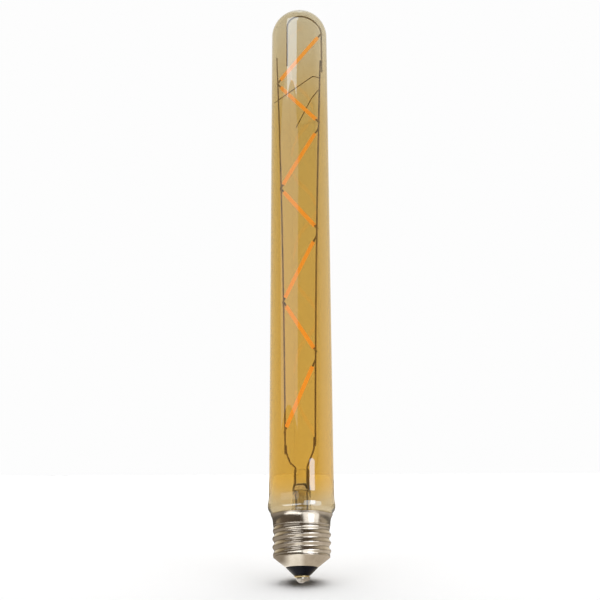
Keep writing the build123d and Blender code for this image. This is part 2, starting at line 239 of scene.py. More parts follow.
@dataclass(frozen=True)
class StemGlass:
    """Lead-free clear glass of the stem, fire polished, faintly warm in its thick press.

    A thin wall bends nothing: it lets light straight through and mirrors more towards its
    edges, by a power of how far it faces away.
    """

    name: str = "clear_stem_glass"
    tint: str = "f4f2ea"
    thin: bool = False
    ior: float = 1.52
    roughness: float = 0.02
    ripple_mm: float = 2.5
    ripple_depth_mm: float = 0.4
    edge_power: float = 4.0
    face_mirror: float = 0.04
    edge_mirror: float = 0.8

    def build(self) -> bpy.types.Material:
        """Make the glass, with the ripples that pressing leaves.

        Returns:
            The material.
        """
        material, tree, output = new_tree(self.name)
        place = add_node(tree, "ShaderNodeTexCoord")
        ripple = add_node(
            tree, "ShaderNodeTexNoise", Vector=place.outputs["Object"],
            Scale=1.0 / (self.ripple_mm * MM), Detail=2.0,
        )
        bump = add_node(
            tree, "ShaderNodeBump", Strength=BUMP_STRENGTH, Distance=self.ripple_depth_mm * MM,
            Height=ripple.outputs["Fac"],
        )
        if self.thin:
            shader = self.thin_wall(tree, bump)
        else:
            shader = add_node(
                tree, "ShaderNodeBsdfPrincipled", Base_Color=srgb(self.tint), Roughness=self.roughness,
                IOR=self.ior, Transmission_Weight=1.0, Normal=bump.outputs["Normal"],
            )
        tree.links.new(shader.outputs[0], output.inputs[0])
        return material

    def thin_wall(self, tree: bpy.types.NodeTree, bump: bpy.types.Node) -> bpy.types.Node:
        """Mix clear and mirroring by the angle at which the wall is seen.

        Args:
            tree: The material's tree.
            bump: The node that gives the rippled normal.

        Returns:
            The mixed shader.
        """
        away = add_node(tree, "ShaderNodeLayerWeight", Blend=0.5, Normal=bump.outputs["Normal"])
        power = add_node(
            tree, "ShaderNodeMath", {"operation": "POWER"}, i0=away.outputs["Facing"], i1=self.edge_power
        )
        share = add_node(
            tree, "ShaderNodeMapRange", i0=power.outputs[0], To_Min=self.face_mirror, To_Max=self.edge_mirror
        )
        clear = add_node(tree, "ShaderNodeBsdfTransparent", Color=srgb(self.tint))
        shine = add_node(tree, "ShaderNodeBsdfGlossy", Color=srgb("ffffff"), Roughness=self.roughness)
        return add_node(
            tree, "ShaderNodeMixShader", Fac=share.outputs[0], i1=clear.outputs[0], i2=shine.outputs[0]
        )


@dataclass(frozen=True)
class Metal:
    """A metal surface with uneven tone and fine marks from how it was drawn or rolled.

    Real marks are a few hundredths of a millimetre wide; they are drawn coarser here, so that
    they show. The bare share tells how much of the surface is not dulled by oxide.
    """

    name: str
    tone: str
    shade: str
    roughness: float
    patch_mm: float
    mark_mm: float
    mark_stretch: Triple = (1.0, 1.0, 1.0)
    bump_mm: float = 0.02
    bare_share: float = 1.0
    rough_spread: float = 0.3

    def build(self) -> bpy.types.Material:
        """Make the metal: two tones in soft patches, and a fine bump and roughness pattern.

        Returns:
            The material.
        """
        material, tree, output = new_tree(self.name)
        place = add_node(tree, "ShaderNodeTexCoord")
        patches = add_node(
            tree, "ShaderNodeTexNoise", Vector=place.outputs["Object"],
            Scale=1.0 / (self.patch_mm * MM), Detail=3.0,
        )
        ramp = add_node(tree, "ShaderNodeValToRGB", Fac=patches.outputs["Fac"])
        set_ramp(ramp, [(TONE_LOW, srgb(self.shade)), (TONE_HIGH, srgb(self.tone))])
        stretch = add_node(
            tree, "ShaderNodeMapping", Vector=place.outputs["Object"], Scale=self.mark_stretch
        )
        marks = add_node(
            tree, "ShaderNodeTexNoise", Vector=stretch.outputs[0],
            Scale=1.0 / (self.mark_mm * MM), Detail=4.0,
        )
        rough = add_node(
            tree, "ShaderNodeMapRange", i0=marks.outputs["Fac"], From_Min=MARK_LOW, From_Max=MARK_HIGH,
            To_Min=self.roughness * (1 - self.rough_spread), To_Max=self.roughness * (1 + self.rough_spread),
        )
        bump = add_node(
            tree, "ShaderNodeBump", Strength=BUMP_STRENGTH, Distance=self.bump_mm * MM,
            Height=marks.outputs["Fac"],
        )
        shader = add_node(
            tree, "ShaderNodeBsdfPrincipled", Base_Color=ramp.outputs["Color"], Metallic=self.bare_share,
            Roughness=rough.outputs[0], Normal=bump.outputs["Normal"],
        )
        tree.links.new(shader.outputs[0], output.inputs[0])
        return material


@dataclass(frozen=True)
class Moulded:
    """A moulded, baked or laminated surface: two close tones in grains, with a fine bump."""

    name: str
    tone: str
    shade: str
    roughness: float
    grain_mm: float
    bump_mm: float = 0.03
    ior: float = 1.5
    painted_glow: Optional[str] = None
    painted_glow_strength: float = 0.0

    def build(self) -> bpy.types.Material:
        """Make the surface, with a painted glow where the finish has one: an emission that makes it look lit.

        Returns:
            The material.
        """
        material, tree, output = new_tree(self.name)
        place = add_node(tree, "ShaderNodeTexCoord")
        grain = add_node(
            tree, "ShaderNodeTexNoise", Vector=place.outputs["Object"],
            Scale=1.0 / (self.grain_mm * MM), Detail=4.0,
        )
        ramp = add_node(tree, "ShaderNodeValToRGB", Fac=grain.outputs["Fac"])
        set_ramp(ramp, [(TONE_LOW, srgb(self.shade)), (TONE_HIGH, srgb(self.tone))])
        bump = add_node(
            tree, "ShaderNodeBump", Strength=BUMP_STRENGTH, Distance=self.bump_mm * MM,
            Height=grain.outputs["Fac"],
        )
        shader = add_node(
            tree, "ShaderNodeBsdfPrincipled", Base_Color=ramp.outputs["Color"],
            Roughness=self.roughness, IOR=self.ior, Normal=bump.outputs["Normal"],
        )
        # A painted glow: emission that makes the surface look lit whatever the light
        if self.painted_glow:
            shader.inputs["Emission Color"].default_value = srgb(self.painted_glow)
            shader.inputs["Emission Strength"].default_value = self.painted_glow_strength
        tree.links.new(shader.outputs[0], output.inputs[0])
        return material


# Iron-nickel wire, drawn bright and then browned by the flame of the sealing machine: dull
DRAWN_WIRE = Metal(
    name="drawn_nickel_iron_wire", tone="b8a27c", shade="937c56", roughness=0.45,
    patch_mm=9.0, mark_mm=0.25, mark_stretch=(1.0, 1.0, 0.1), bare_share=0.4,
)
# Thinner wire of the same kind, a little brighter because it was never in the flame
ANCHOR_WIRE = Metal(
    name="thin_anchor_wire", tone="b39c70", shade="8c764c", roughness=0.42,
    patch_mm=6.0, mark_mm=0.25, bare_share=0.5,
)
# Stamped and plated strip of the filaments' terminals, with a soft warm shine
PLATED_STRIP = Metal(
    name="plated_terminal_strip", tone="a8946c", shade="83704c", roughness=0.32,
    patch_mm=3.0, mark_mm=0.3,
)
# Nickel-plated brass sheet, rolled: warm, with soft reflections that the rollers smeared around
NICKEL_SHEET = Metal(
    name="nickel_plated_sheet", tone="dcd5ca", shade="cac2b5", roughness=0.2,
    patch_mm=7.0, mark_mm=0.5, mark_stretch=(1.0, 1.0, 3.0), bump_mm=0.01,
)
# Brass eyelet stamped into the insulator, yellow and bright
STAMPED_BRASS = Metal(
    name="stamped_brass_eyelet", tone="d8c79c", shade="b8a374", roughness=0.25,
    patch_mm=2.0, mark_mm=0.3,
)
# Tin solder, bright where it ran and set, with a slightly wavy skin
TIN_SOLDER = Metal(
    name="tin_solder", tone="c2beb8", shade="95918c", roughness=0.22,
    patch_mm=1.5, mark_mm=0.4, bump_mm=0.05,
)
# Drawn aluminium can of the capacitor, grey and satin
DRAWN_CAN = Metal(
    name="drawn_aluminium_can", tone="b9bcc0", shade="9fa2a6", roughness=0.3,
    patch_mm=3.0, mark_mm=0.3,
)
# Tinned copper of the two thin wires in the cap, pale with the copper showing through
TINNED_COPPER = Metal(
    name="tinned_copper_wire", tone="d6b48c", shade="b8926a", roughness=0.3,
    patch_mm=2.0, mark_mm=0.2,
)
# Orange phosphor powder in silicone rubber, satin; its emission is a painted glow that makes the strips look
# lit, standing in for the phosphor's fluorescence
PHOSPHOR_SILICONE = Moulded(
    name="phosphor_silicone", tone="ffc35a", shade="fab648", roughness=0.45,
    grain_mm=0.6, bump_mm=0.04, ior=1.41, painted_glow="ffb052", painted_glow_strength=0.75,
)
# Black glass moulded into the foot of the cap: smooth, but its skin mirrors weakly
BLACK_GLASS = Moulded(
    name="black_moulded_glass", tone="101426", shade="0a0d1a", roughness=0.16,
    grain_mm=1.2, bump_mm=0.02, ior=1.22,
)
# Baked basing cement, chalky and matt
BAKED_CEMENT = Moulded(
    name="baked_cement", tone="cfc6b2", shade="b9af9a", roughness=0.9, grain_mm=0.4
)
# Glass fibre laminate of the driver board, yellowish and half matt
BOARD_LAMINATE = Moulded(
    name="glass_fibre_board", tone="cfc48e", shade="b8ad78", roughness=0.5, grain_mm=0.5
)
# Moulded black resin of the chips, dull
MOULDED_RESIN = Moulded(
    name="moulded_black_resin", tone="17171a", shade="0f0f12", roughness=0.6, grain_mm=0.3
)
# Lacquered ceramic rod of the resistor, green and glossy
LACQUERED_CERAMIC = Moulded(
    name="lacquered_ceramic", tone="7f9c86", shade="6c8a74", roughness=0.3, grain_mm=0.8
)


# Shapes


def skin(name: str, rings: np.ndarray, ends: Ends) -> bpy.types.Object:
    """Put a stack of closed rings into a mesh, as quads with a fan at each pole.

    Ring i and ring i + 1 are joined point by point. A capped skin closes its first and last
    ring with a fan round their mean point; a looped skin joins its last ring to its first.

    Args:
        name: The piece's name.
        rings: Points in millimetres, as an array of rings by points by 3.
        ends: How the stack is closed.

    Returns:
        The smooth shaded object, with its place in its mesh.
    """
    count, around, _ = rings.shape
    points = rings.reshape(-1, 3)
    upper = np.arange(count if ends is Ends.LOOPED else count - 1)
    step = np.arange(around)
    low, spin = np.meshgrid(upper, step, indexing="ij")
    high = (low + 1) % count
    following = (spin + 1) % around
    quads = np.stack(
        [low * around + spin, low * around + following, high * around + following, high * around + spin], -1
    ).reshape(-1, 4)
    faces: List[List[int]] = quads.tolist()
    if ends is Ends.CAPPED:
        points = np.vstack([points, rings[0].mean(0), rings[-1].mean(0)])
        onward = (step + 1) % around
        first = np.full(around, count * around)
        last = first + 1
        top = (count - 1) * around
        faces += np.stack([first, onward, step], -1).tolist()
        faces += np.stack([last, top + step, top + onward], -1).tolist()
    mesh = bpy.data.meshes.new(name)
    mesh.from_pydata((points * MM).tolist(), [], faces)
    mesh.polygons.foreach_set("use_smooth", np.ones(len(faces), dtype=bool))
    mesh.update()
    piece = bpy.data.objects.new(name, mesh)
    bpy.context.scene.collection.objects.link(piece)
    return piece


def circles(profile: np.ndarray, around: int, centres: Optional[np.ndarray] = None) -> np.ndarray:
    """Turn a profile round the z axis into rings.

    Args:
        profile: Radius and height of each profile point.
        around: Points in each ring.
        centres: Optional x and y of each ring's centre.

    Returns:
        Rings, as an array of profile points by points around by 3.
    """
    turn = np.linspace(0, 2 * np.pi, around, endpoint=False)
    radius, height = profile[:, 0][:, None], profile[:, 1][:, None]
    shift = np.zeros((len(profile), 2)) if centres is None else centres
    x = shift[:, 0][:, None] + radius * np.cos(turn)
    y = shift[:, 1][:, None] + radius * np.sin(turn)
    return np.stack([x, y, np.broadcast_to(height, x.shape)], -1)


def bezier(points: Sequence[Sequence[float]], samples: int) -> np.ndarray:
    """A cubic Bezier curve: the four points weighted by the Bernstein polynomials.

    Args:
        points: Start, two control points and end.
        samples: Points along the curve, both ends included.

    Returns:
        The points of the curve.
    """
    t = np.linspace(0, 1, samples)[:, None]
    a, b, c, d = [np.asarray(p, float) for p in points]
    return (1 - t) ** 3 * a + 3 * (1 - t) ** 2 * t * b + 3 * (1 - t) * t**2 * c + t**3 * d


def arc(centre: Sequence[float], radius: float, start: float, end: float, samples: int) -> np.ndarray:
    """Points of a circular arc in a profile's plane, centre + radius * (cos, sin), in degrees."""
    turn = np.radians(np.linspace(start, end, samples))
    return np.stack([centre[0] + radius * np.cos(turn), centre[1] + radius * np.sin(turn)], -1)


def evened(profile: np.ndarray, step: float) -> np.ndarray:
    """Divide the long runs of a profile so that no run is longer than a step.

    Each run is cut into equal shares, as many as its length over the step, rounded up.

    Args:
        profile: Points of the profile.
        step: The longest run, in millimetres.

    Returns:
        The profile with points added along its long runs.
    """
    ahead = np.diff(profile, axis=0)
    cuts = np.maximum(np.ceil(np.linalg.norm(ahead, axis=1) / step), 1).astype(int)
    run = np.repeat(np.arange(len(cuts)), cuts)
    share = (np.arange(len(run)) - (np.cumsum(cuts) - cuts)[run]) / cuts[run]
    return np.vstack([profile[run] + share[:, None] * ahead[run], profile[-1:]])


def rounded_path(corners: Sequence[Sequence[float]], reach: float, samples: int = 8) -> np.ndarray:
    """A path through corners, each rounded by a quadratic curve that starts a reach before it.

    The curve is (1 - t)^2 start + 2 (1 - t) t corner + t^2 end.

    Args:
        corners: The corner points of the path.
        reach: How far from a corner its curve starts, within the bend's share of either run.
        samples: Points of each curve.

    Returns:
        The points of the path.
    """
    p = np.asarray(corners, float)
    parts = [p[:1]]
    t = np.linspace(0, 1, samples)[:, None]
    for before, corner, after in zip(p[:-2], p[1:-1], p[2:]):
        back, on = before - corner, after - corner
        pull_back = back * min(reach / np.linalg.norm(back), BEND_SHARE)
        pull_on = on * min(reach / np.linalg.norm(on), BEND_SHARE)
        start, end = corner + pull_back, corner + pull_on
        parts.append((1 - t) ** 2 * start + 2 * (1 - t) * t * corner + t**2 * end)
    parts.append(p[-1:])
    return np.vstack(parts)


def wire_rings(path: np.ndarray, radius: float, across: Sequence[float], around: int = 20) -> np.ndarray:
    """Carry a circle along a path, with a rounded nose at both ends.

    The circle's two directions are the path's direction crossed with a fixed one, and that
    again crossed with the path, so the tube never twists.

    Args:
        path: Points of the path, in millimetres.
        radius: The wire's radius.
        across: A direction that the path never runs along.
        around: Points in each ring.

    Returns:
        The rings of the wire.
    """
    ahead = np.gradient(path, axis=0)
    ahead /= np.linalg.norm(ahead, axis=1)[:, None]
    nose = np.radians(NOSE_DEG)
    pulls = np.append(radius * (1 - np.sin(nose)), radius)
    start = path[0] + ahead[0] * pulls[:, None]
    end = path[-1] - ahead[-1] * pulls[::-1, None]
    spine = np.vstack([start, path[1:-1], end])
    size = np.concatenate([radius * np.cos(nose), np.full(len(path), radius), radius * np.cos(nose[::-1])])
    lead = np.vstack([
        np.repeat(ahead[:1], len(pulls), 0), ahead[1:-1], np.repeat(ahead[-1:], len(pulls), 0)
    ])
    first = np.cross(lead, np.asarray(across, float))
    first /= np.linalg.norm(first, axis=1)[:, None]
    second = np.cross(lead, first)
    turn = np.linspace(0, 2 * np.pi, around, endpoint=False)[None, :, None]
    spokes = np.cos(turn) * first[:, None] + np.sin(turn) * second[:, None]
    return spine[:, None] + size[:, None, None] * spokes


def polar(radius: float, turn: float, level: float) -> np.ndarray:
    """A point at a radius, at an angle in degrees round the axis and at a level."""
    return np.array([radius * math.cos(math.radians(turn)), radius * math.sin(math.radians(turn)), level])


def reaching(way: Sequence[float], distance: float) -> np.ndarray:
    """A vector along a way, of a given length."""
    return np.asarray(way, float) * distance / np.linalg.norm(way)


def finish_piece(piece: bpy.types.Object, material: bpy.types.Material, slot: str, *nodes: str) -> None:
    """Dress a piece and hand it to the frame.

    Args:
        piece: The piece.
        material: Its finish.
        slot: The record's material slot; not used.
        *nodes: The nodes of the frame that it stands for.
    """
    piece.data.materials.clear()
    piece.data.materials.append(material)
    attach(piece, "root")
    if nodes:
        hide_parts(*nodes)
    log.info("%s: %d faces", piece.name, len(piece.data.polygons))


def dress_node(name: str, material: bpy.types.Material) -> None:
    """Give a node of the frame its finish.

    Args:
        name: The node.
        material: Its finish.
    """
    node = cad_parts[name]
    node.data.materials.clear()
    node.data.materials.append(material)
    log.info("%s: finish %s", name, material.name)


# Sub-assemblies


@dataclass
class Envelope:
    """The blown glass tube with its dome, shoulder and neck, in millimetres.

    The pulls are the lengths of the handles of its two curves, out of the neck and over the
    shoulder into the tube.
    """

    height: float = 300.0
    tube_r: float = 14.75
    shoulder_r: float = 15.24
    neck_r: float = 11.55
    wall: float = 1.0
    neck_end: float = 22.8
    neck_top: float = 26.2
    shoulder_level: float = 33.4
    tube_start: float = 38.5
    neck_pull: float = 3.3
    swell_pull: float = 3.4
    ease_pulls: Tuple[float, float] = (2.0, 2.5)
    around: int = 128

    @property
    def inner_r(self) -> float:
        """Inner radius of the straight tube."""
        return self.tube_r - self.wall

    @property
    def dome_level(self) -> float:
        """Height of the centre of the dome."""
        return self.height - self.tube_r

    def outline(self, inset: float) -> np.ndarray:
        """Profile from the neck's end up to the dome's top, moved inwards by an inset.

        Args:
            inset: Distance inside the outer surface.

        Returns:
            Radius and height of each point, ending beside the axis, where the skin closes it.
        """
        neck, shoulder, tube = self.neck_r - inset, self.shoulder_r - inset, self.tube_r - inset
        neck_line = evened(np.array([[neck, self.neck_end], [neck, self.neck_top]]), step=1.0)
        swell = bezier([
            (neck, self.neck_top), (neck, self.neck_top + self.neck_pull),
            (shoulder, self.shoulder_level - self.swell_pull), (shoulder, self.shoulder_level),
        ], samples=22)
        ease = bezier([
            (shoulder, self.shoulder_level), (shoulder, self.shoulder_level + self.ease_pulls[0]),
            (tube, self.tube_start - self.ease_pulls[1]), (tube, self.tube_start),
        ], samples=10)
        straight = evened(np.array([[tube, self.tube_start], [tube, self.dome_level]]), step=12.0)
        dome = arc((0.0, self.dome_level), tube, start=0.0, end=89.0, samples=40)
        return np.vstack([neck_line, swell[1:], ease[1:], straight[1:], dome[1:]])

    def build(self) -> bpy.types.Object:
        """Make the shell: down its inner wall, round the neck's end and up its outer wall."""
        profile = np.vstack([self.outline(self.wall)[::-1], self.outline(0.0)])
        return skin("envelope_glass", circles(profile, self.around), Ends.CAPPED)

    def dress(self) -> None:
        """Build the envelope, give it its glass and let it stand for its node.

        Face i of the skin lies in band i // around, and the first bands and the first fan are
        those of the inner wall, which stays bare.
        """
        piece = self.build()
        finish_piece(piece, AmberGlass().build(), "bulb_glass", "glass_envelope")
        piece.data.materials.append(AmberGlass(name="bare_inner_glass", lustred=False).build())
        bands = len(self.outline(0.0))
        face = np.arange(len(piece.data.polygons))
        first_fan = (2 * bands - 1) * self.around
        bare = (face < (bands - 1) * self.around) | ((face >= first_fan) & (face < first_fan + self.around))
        piece.data.polygons.foreach_set("material_index", bare.astype(np.int32))


@dataclass
class Stem:
    """The trumpet with its flattened press, and the exhaust tube inside it.

    The press is a slab with rounded edges, whose squareness is the power of its outline: 2
    would be an ellipse.
    """

    rim_r: float = 11.55
    throat_r: float = 10.55
    rim_low: float = 21.9
    rim_top: float = 22.8
    tube_r: float = 4.2
    wall: float = 0.9
    rim_edge: float = 0.2
    trumpet_top: float = 38.0
    trumpet_pulls: Tuple[float, float, float] = (3.5, 1.5, 9.0)
    cavity_top: float = 40.5
    cavity_corner: float = 0.5
    press_low: float = 44.0
    press_top: float = 50.2
    press_width: float = 7.6
    press_thickness: float = 3.2
    press_squareness: float = 3.2
    press_edge: float = 0.7
    press_side: float = 3.0
    press_turn: float = -15.0
    exhaust_r: float = 2.0
    exhaust_wall: float = 0.7
    exhaust_tip: float = 19.4
    exhaust_gap: float = 0.02
    around: int = 72

    def throat(self, rim_level: float, stem: float) -> np.ndarray:
        """Shape the flared curve from the rim up to the straight part of the stem.

        Args:
            rim_level: Height of the curve's start on the rim.
            stem: Radius of the straight part.

        Returns:
            Radius and height of each point.
        """
        inwards, upwards, down = self.trumpet_pulls
        return bezier([
            (self.throat_r, rim_level), (self.throat_r - inwards, rim_level + upwards),
            (stem, self.trumpet_top - down), (stem, self.trumpet_top),
        ], samples=26)

    def press_rings(self) -> np.ndarray:
        """Rings that turn from the round stem into the flat press and close over its top.

        Each ring is a superellipse, |x/a|^n + |y/b|^n = 1, whose half widths and power go
        from those of a circle to those of a rounded slab, and its top is a quarter round.

        Returns:
            The rings, turned to the press's direction.
        """
        rise = np.linspace(0, 1, 12)
        blend = rise**2 * (3 - 2 * rise)
        level = self.cavity_top + rise * (self.press_low - self.cavity_top)
        half_w = self.tube_r + blend * (self.press_width / 2 - self.tube_r)
        half_t = self.tube_r + blend * (self.press_thickness / 2 - self.tube_r)
        power = 2.0 + blend * (self.press_squareness - 2.0)
        edge = self.press_edge
        over = np.radians(np.linspace(0, 80, 7))
        level = np.concatenate([
            level, [self.press_top - self.press_side], self.press_top - edge + edge * np.sin(over)
        ])
        shrink = edge * (1 - np.cos(over))
        half_w = np.concatenate([half_w, [half_w[-1]], half_w[-1] - shrink])
        half_t = np.concatenate([half_t, [half_t[-1]], half_t[-1] - shrink])
        power = np.concatenate([power, [power[-1]], np.full(len(over), power[-1])])
        turn = np.linspace(0, 2 * np.pi, self.around, endpoint=False)
        c, s = np.cos(turn)[None], np.sin(turn)[None]
        n = power[:, None]
        radius = (np.abs(c / half_w[:, None]) ** n + np.abs(s / half_t[:, None]) ** n) ** (-1 / n)
        x, y = radius * c, radius * s
        t = math.radians(self.press_turn)
        return np.stack([
            x * math.cos(t) - y * math.sin(t), x * math.sin(t) + y * math.cos(t),
            np.broadcast_to(level[:, None], x.shape),
        ], -1)

    def build_flare(self) -> bpy.types.Object:
        """Make the trumpet: down inside from the closed top of the cavity, and up outside.

        Returns:
            The trumpet with its press.
        """
        bore, corner = self.tube_r - self.wall, self.cavity_corner
        inner = np.vstack([
            [[0.2, self.cavity_top], [bore - corner, self.cavity_top], [bore, self.cavity_top - corner]],
            self.throat(self.rim_low, bore)[::-1],
        ])
        rim = np.array([
            [self.rim_r - self.rim_edge, self.rim_low], [self.rim_r, self.rim_low + self.rim_edge],
            [self.rim_r, self.rim_top],
        ])
        outer = np.vstack([rim, self.throat(self.rim_top, self.tube_r)])
        turned = circles(np.vstack([inner, outer]), self.around)
        return skin("stem_glass", np.vstack([turned, self.press_rings()]), Ends.CAPPED)

    def build_exhaust(self) -> bpy.types.Object:
        """Make the exhaust tube, melted shut in a thick round tip.

        Returns:
            The tube.
        """
        r, bore = self.exhaust_r, self.exhaust_r - self.exhaust_wall
        tip, top = self.exhaust_tip, self.cavity_top - self.exhaust_gap
        outer = np.vstack([arc((0.0, tip + r), r, start=-88.0, end=0.0, samples=12), [[r, top]]])
        inner = np.vstack([
            [[bore, top], [bore, tip + 2 * r]],
            arc((0.0, tip + 2 * r), bore, start=0.0, end=-88.0, samples=10),
        ])
        return skin("exhaust_glass", circles(np.vstack([outer, inner]), around=40), Ends.CAPPED)

    def dress(self) -> None:
        """Build both pieces and give them the clear glass."""
        finish_piece(self.build_flare(), StemGlass().build(), "stem_glass", "stem_flare")
        thin = StemGlass(name="thin_exhaust_glass", thin=True).build()
        finish_piece(self.build_exhaust(), thin, "stem_glass", "exhaust_tube")


@dataclass(frozen=True)
class Anchor:
    """One anchor, from the right wire over its bend to the glass.

    Its place on the wire is given by a drop below the lamp's top and the way from the wire;
    its bend and its end are given by radius, angle round the axis and rise from that place.
    The end's radius is that of the glass, so it has only an angle and a rise.
    """

    drop: float
    way: Triple
    bend: Triple
    end: Tuple[float, float]


@dataclass
class WireFrame:
    """Support wires, lead-in wires, dome hoop and anchors, bent from round wire.

    The right wire bows through three points, given from its foot up by their inset from the
    glass and their turn round the axis, in degrees; the shift moves the frame aside. A drop is
    counted down from the lamp's top. A way is the side on which one wire is welded to another,
    and an across is a direction that a wire never runs along.
    """

    envelope: Envelope
    stem: Stem
    wire_r: float = 0.4
    anchor_r: float = 0.25
    weld_gap: float = 0.03
    lap_gap: float = 0.12
    low_level: float = 58.3
    insets: Tuple[float, float, float] = (5.3, 2.6, 1.8)
    turns: Tuple[float, float, float] = (-34.4, -39.7, -10.2)
    shift: float = -0.62
    lead_r: float = 2.7
    lead_foot: float = 16.2
    lap_low: float = 58.8
    lap_tops: Tuple[float, float] = (62.4, 64.3)
    left_bend: Triple = (-5.2, 4.0, 54.0)
    lead_way: Triple = (0.66, -0.75, 0.0)
    lead_free: float = 0.9
    lead_bend: float = 1.2
    left_top_drop: float = 26.0
    right_top_drop: float = 31.0
    right_rise: float = 1.7
    hoop_foot_drop: float = 39.0
    hoop_way: Triple = (0.89, -0.45, 0.0)
    spring_drop: float = 0.25
    top_weld_drop: float = 15.1
    free_leg_inset: float = 2.65
    free_leg_turn: float = -124.6
    anchor_lap: float = 3.5
    anchor_bend: float = 1.0
    glass_gap: float = 0.02
    long_across: Triple = (0.0, 1.0, 0.0)
    lead_across: Triple = (0.64, 0.77, 0.0)
    anchor_across: Triple = (0.1, 0.3, 1.0)
    front_anchor: Anchor = Anchor(43.0, (-0.25, -0.97, 0.0), (9.55, -43.7, -0.6), (-173.5, -13.7))
    back_anchor: Anchor = Anchor(48.8, (0.25, 0.97, 0.0), (8.0, 38.0, -1.2), (98.5, -13.9))

    def __post_init__(self) -> None:
        """Fit the bow of the wires: the circle through its low, middle and top points."""
        height = self.envelope.height
        inner_r = self.envelope.inner_r
        self.left_levels = (self.low_level, height - self.left_top_drop)
        self.right_levels = (self.low_level + self.right_rise, height - self.right_top_drop)
        self.top_level = self.left_levels[1]
        levels = (self.low_level, (self.low_level + self.top_level) / 2, self.top_level)
        self.low, self.middle, self.top = [
            polar(inner_r - inset, turn, level) for inset, turn, level in zip(self.insets, self.turns, levels)
        ]
        self.hoop_foot = height - self.hoop_foot_drop
        self.hoop_spring = self.envelope.dome_level - self.spring_drop
        self.top_weld = height - self.top_weld_drop

    def bow(self, share: np.ndarray) -> np.ndarray:
        """Points of the bow, the arc of the circle through its three fitted points.

        The centre comes from the two sides u and v of the triangle and its normal n, as
        a + ((n x u) v.v + (v x n) u.u) / (2 n.n), and a point is centre + radius * (cos, sin).

        Args:
            share: Shares of the length, from 0 at the foot to 1 at the top.

        Returns:
            One point for each share.
        """
        a, b, c = self.low, self.middle, self.top
        u, v = b - a, c - a
        normal = np.cross(u, v)
        centre = a + (np.cross(normal, u) * (v @ v) + np.cross(v, normal) * (u @ u)) / (2 * (normal @ normal))
        e1 = (a - centre) / np.linalg.norm(a - centre)
        e2 = np.cross(normal, e1) / np.linalg.norm(normal)
        radius = np.linalg.norm(a - centre)
        whole = math.atan2((c - centre) @ e2, (c - centre) @ e1)
        turn = np.asarray(share, float)[:, None] * whole
        return centre + radius * (np.cos(turn) * e1 + np.sin(turn) * e2)

    def wire_points(self, side: Side, levels: Sequence[float]) -> np.ndarray:
        """Centres of the support wire of a side, at some levels.

        The left wire is the right one turned half round the axis.

        Args:
            side: The wire.
            levels: Heights in millimetres.

        Returns:
            One point for each level.
        """
        share = (np.asarray(levels, float) - self.low_level) / (self.top_level - self.low_level)
        points = self.bow(share)
        if side is Side.LEFT:
            points = points * np.array([-1.0, -1.0, 1.0])
        return points + np.array([self.shift, 0.0, 0.0])

    def wire_point(self, side: Side, level: float) -> np.ndarray:
        """Centre of the support wire of a side, at one level."""
        return self.wire_points(side, [level])[0]

    def hoop_frame(self) -> Tuple[np.ndarray, np.ndarray, float]:
        """Middle, direction and half width of the hoop, from its two legs.

        Returns:
            The middle at level 0, the direction from the free leg to the lapped one, and half
            the distance between them.
        """
        lap = self.wire_point(Side.RIGHT, (self.hoop_foot + self.right_levels[1]) / 2)
        offset = reaching(self.hoop_way, 2 * self.wire_r + self.lap_gap)
        lapped = np.array([lap[0], lap[1], 0.0]) + offset
        free = polar(self.envelope.inner_r - self.free_leg_inset, self.free_leg_turn, 0.0)
        span = lapped - free
        width = float(np.linalg.norm(span))
        return (lapped + free) / 2, span / width, width / 2

    def hoop_point(self, level: float) -> np.ndarray:
        """Centre of the hoop above its lapped leg, at a level on its arc.

        Args:
            level: Height in millimetres.

        Returns:
            The point of the circle of the hoop's half width, at that height.
        """
        middle, direction, half = self.hoop_frame()
        across = math.sqrt(half**2 - (level - self.hoop_spring) ** 2)
        return middle + direction * across + np.array([0.0, 0.0, level])

    def lead_path(self, side: Side) -> np.ndarray:
        """Path of a lead-in wire, up through the press and out to lap its support wire.

        Args:
            side: The support wire that it laps.

        Returns:
            The points of the path.
        """
        lap = reaching(self.lead_way, 2 * self.wire_r + self.weld_gap) * -side.value
        turn = self.stem.press_turn + (0.0 if side is Side.RIGHT else 180.0)
        spot = polar(self.lead_r, turn, 0.0)
        bends = [np.array(self.left_bend)] if side is Side.LEFT else []
        top = self.lap_tops[0] if side is Side.LEFT else self.lap_tops[1]
        return rounded_path([
            spot + np.array([0.0, 0.0, self.lead_foot]),
            spot + np.array([0.0, 0.0, self.stem.press_top + self.lead_free]),
            *bends,
            self.wire_point(side, self.lap_low) + lap,
            self.wire_point(side, top) + lap,
        ], self.lead_bend)

    def anchor_path(self, plan: Anchor) -> np.ndarray:
        """Path of an anchor, along the right wire, out to its bend and on to the glass.

        Args:
            plan: The anchor's plan.

        Returns:
            The points of the path.
        """
        level = self.envelope.height - plan.drop
        off = reaching(plan.way, self.wire_r + self.anchor_r + self.lap_gap / 2)
        return rounded_path([
            self.wire_point(Side.RIGHT, level - self.anchor_lap) + off,
            self.wire_point(Side.RIGHT, level) + off,
            polar(plan.bend[0], plan.bend[1], level + plan.bend[2]),
            polar(self.envelope.inner_r - self.anchor_r - self.glass_gap, plan.end[0], level + plan.end[1]),
        ], self.anchor_bend)

    def hoop_path(self) -> Tuple[np.ndarray, np.ndarray]:
        """Path of the hoop, up one leg, over a half circle and down the other leg.

        Returns:
            The points of the path, and the direction square to its plane.
        """
        middle, direction, half = self.hoop_frame()
        up = np.array([0.0, 0.0, 1.0])
        bend = arc((0.0, self.hoop_spring), half, start=0.0, end=180.0, samples=41)
        flat = np.vstack([[[half, self.hoop_foot]], bend, [[-half, self.hoop_foot]]])
        return middle + flat[:, :1] * direction + flat[:, 1:] * up, np.cross(direction, up)

